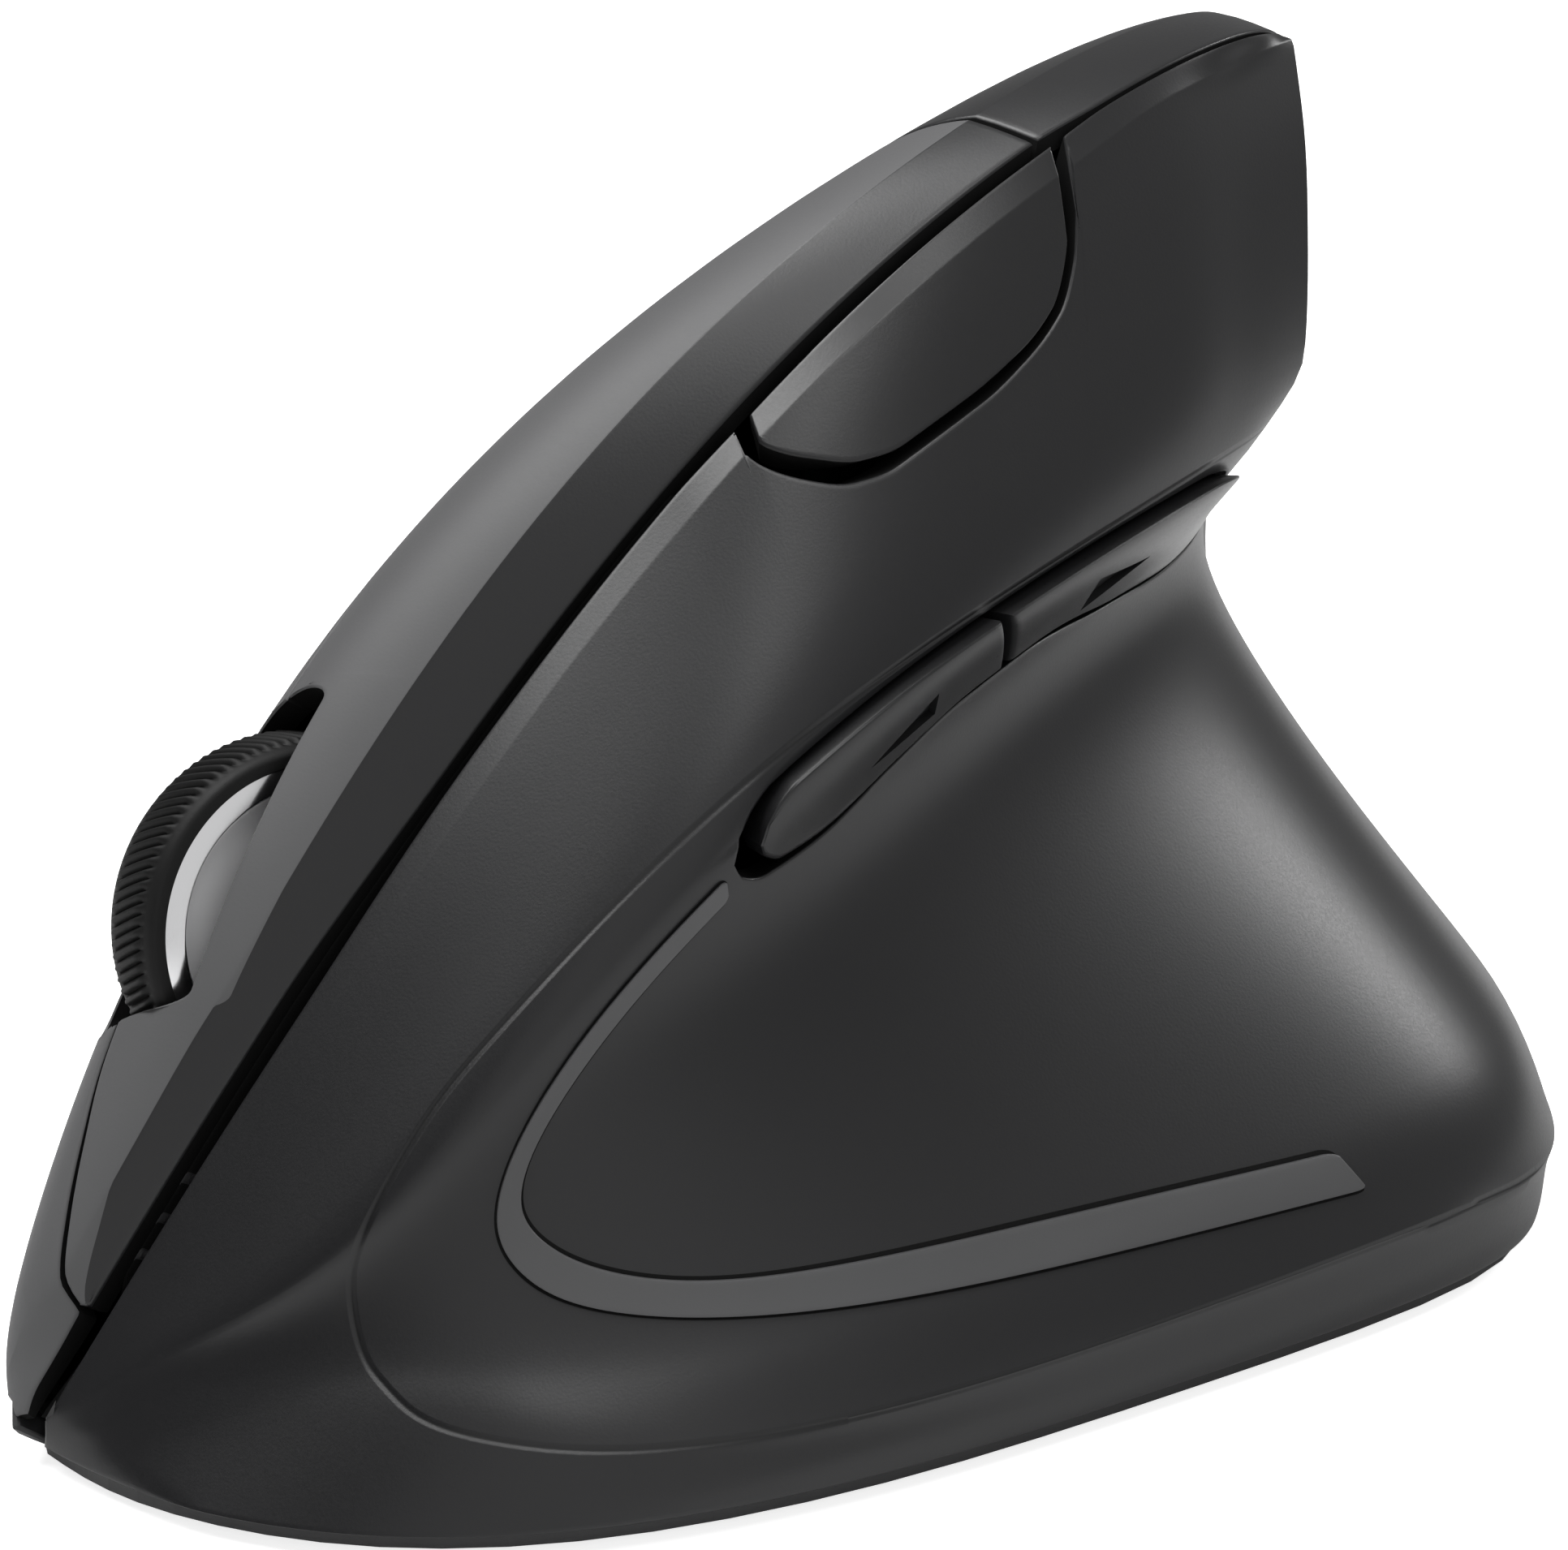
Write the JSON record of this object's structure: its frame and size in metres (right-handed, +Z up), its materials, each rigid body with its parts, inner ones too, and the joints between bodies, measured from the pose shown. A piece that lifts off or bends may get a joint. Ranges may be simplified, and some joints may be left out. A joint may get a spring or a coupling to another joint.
{
  "type": "vertical ergonomic mouse",
  "caption": "Right-handed vertical computer mouse with a thumb scoop and base lip, click plates along a spine, ribbed scroll wheel, thumb keys, sensitivity key, glide feet and battery base.",
  "frame": {"origin": "on the desk plane, under the middle of the overall box", "axes": "+X to the finger side (right), +Y forward to the nose, +Z up"},
  "size_m": [0.066, 0.115, 0.075],
  "materials": {
    "shell": "fine matte, dark charcoal",
    "plates": "fine satin, graphite",
    "keys": "satin gloss, charcoal",
    "strip": "satin grey lacquer",
    "base": "matte black",
    "frame": "matte black",
    "tyre": "ribbed rubber",
    "hub": "satin grey",
    "ring": "satin silver plating",
    "steel": "bright steel",
    "contact": "plated spring metal",
    "board": "dark solder mask",
    "chip": "black moulding",
    "button": "white moulding",
    "lens": "clear moulding",
    "led": "tinted red",
    "cell": "plain wrapped cell",
    "glide": "slippery white plastic"
  },
  "bodies": {
    "housing": {"thumb_shell": "shell", "palm_shell": "shell", "base_plate": "base", "spine_frame": "frame", "accent_strip": "strip", "wheel_bracket": "frame", "switch_deck": "frame", "click_pcb": "board", "side_bracket": "frame", "side_pcb": "board", "main_pcb": "board", "left_switch": "chip", "right_switch": "chip", "middle_switch": "chip", "dpi_switch": "chip", "forward_switch": "chip", "back_switch": "chip", "encoder_emitter": "chip", "encoder_detector": "chip", "optical_sensor": "chip", "sensor_lens": "lens", "sensor_led": "led", "radio_shield": "steel", "battery_tray": "frame", "battery_left": "cell", "battery_right": "cell", "battery_springs": "contact", "battery_contacts": "contact", "power_switch": "chip", "base_screws": "steel", "deck_screws": "steel", "pcb_screws": "steel", "front_foot": "glide", "rear_foot": "glide", "left_foot": "glide", "right_foot": "glide"},
    "left_plate": {"left_button": "plates"},
    "right_plate": {"right_button": "plates"},
    "dpi_key": {"dpi_button": "plates"},
    "forward_key": {"forward_button": "keys"},
    "back_key": {"back_button": "keys"},
    "wheel_carrier": {"wheel_cradle": "frame"},
    "scroll_wheel": {"wheel_tyre": "tyre", "wheel_hub": "hub", "wheel_rings": "ring", "wheel_axle": "steel"},
    "left_click_pin": {"left_plunger": "button"},
    "right_click_pin": {"right_plunger": "button"},
    "middle_click_pin": {"middle_plunger": "button"},
    "dpi_pin": {"dpi_plunger": "button"},
    "forward_pin": {"forward_plunger": "button"},
    "back_pin": {"back_plunger": "button"},
    "door": {"battery_door": "base"},
    "receiver": {"usb_receiver": "base"},
    "power_slider": {"power_knob": "button"}
  },
  "joints": [
    {"name": "left_click", "type": "hinge", "parent": "housing", "child": "left_plate", "pos_m": [0.003, -0.009, 0.069], "axis": [-1, 0, 0], "range_deg": [0, 0.5], "stiffness_Nm_per_rad": 4},
    {"name": "right_click", "type": "hinge", "parent": "housing", "child": "right_plate", "pos_m": [0.015, -0.009, 0.06], "axis": [-1, 0, 0], "range_deg": [0, 0.5], "stiffness_Nm_per_rad": 4},
    {"name": "dpi_press", "type": "slide", "parent": "housing", "child": "dpi_key", "axis": [0.8486, 0, -0.5291], "range_m": [0, 0.0005], "stiffness_N_per_m": 2000},
    {"name": "forward_press", "type": "slide", "parent": "housing", "child": "forward_key", "axis": [0.9527, -0.2909, -0.088], "range_m": [0, 0.0005], "stiffness_N_per_m": 2000},
    {"name": "back_press", "type": "slide", "parent": "housing", "child": "back_key", "axis": [0.945, 0.315, -0.0875], "range_m": [0, 0.0005], "stiffness_N_per_m": 2000},
    {"name": "wheel_press", "type": "slide", "parent": "housing", "child": "wheel_carrier", "axis": [-0.2976, -0.7471, -0.5944], "range_m": [0, 0.0008], "stiffness_N_per_m": 2000},
    {"name": "wheel_spin", "type": "hinge", "parent": "wheel_carrier", "child": "scroll_wheel", "pos_m": [0.01608, 0.03464, 0.02847], "axis": [0.954, -0.2556, -0.1564], "continuous": true},
    {"name": "left_pin_press", "type": "slide", "parent": "housing", "child": "left_click_pin", "axis": [-0.2976, -0.7471, -0.5944], "range_m": [0, 0.0005]},
    {"name": "right_pin_press", "type": "slide", "parent": "housing", "child": "right_click_pin", "axis": [-0.2976, -0.7471, -0.5944], "range_m": [0, 0.0005]},
    {"name": "middle_pin_press", "type": "slide", "parent": "housing", "child": "middle_click_pin", "axis": [-0.2976, -0.7471, -0.5944], "range_m": [0, 0.0008]},
    {"name": "dpi_pin_press", "type": "slide", "parent": "housing", "child": "dpi_pin", "axis": [1, 0, 0], "range_m": [0, 0.0005]},
    {"name": "forward_pin_press", "type": "slide", "parent": "housing", "child": "forward_pin", "axis": [1, 0, 0], "range_m": [0, 0.0005]},
    {"name": "back_pin_press", "type": "slide", "parent": "housing", "child": "back_pin", "axis": [1, 0, 0], "range_m": [0, 0.0005]},
    {"name": "door_slide", "type": "slide", "parent": "housing", "child": "door", "axis": [0, -1, 0], "range_m": [0, 0.006]},
    {"name": "receiver_pull", "type": "slide", "parent": "housing", "child": "receiver", "axis": [0, 0, -1], "range_m": [0, 0.019]},
    {"name": "power_slide", "type": "slide", "parent": "housing", "child": "power_slider", "axis": [0, 1, 0], "range_m": [0, 0.003]}
  ],
  "couplings": [
    {"joint": "left_pin_press", "follows": "left_click", "m_per_rad": 0.0395},
    {"joint": "right_pin_press", "follows": "right_click", "m_per_rad": 0.0319},
    {"joint": "middle_pin_press", "follows": "wheel_press", "ratio": 1},
    {"joint": "dpi_pin_press", "follows": "dpi_press", "ratio": 0.8486},
    {"joint": "forward_pin_press", "follows": "forward_press", "ratio": 0.9527},
    {"joint": "back_pin_press", "follows": "back_press", "ratio": 0.945}
  ]
}
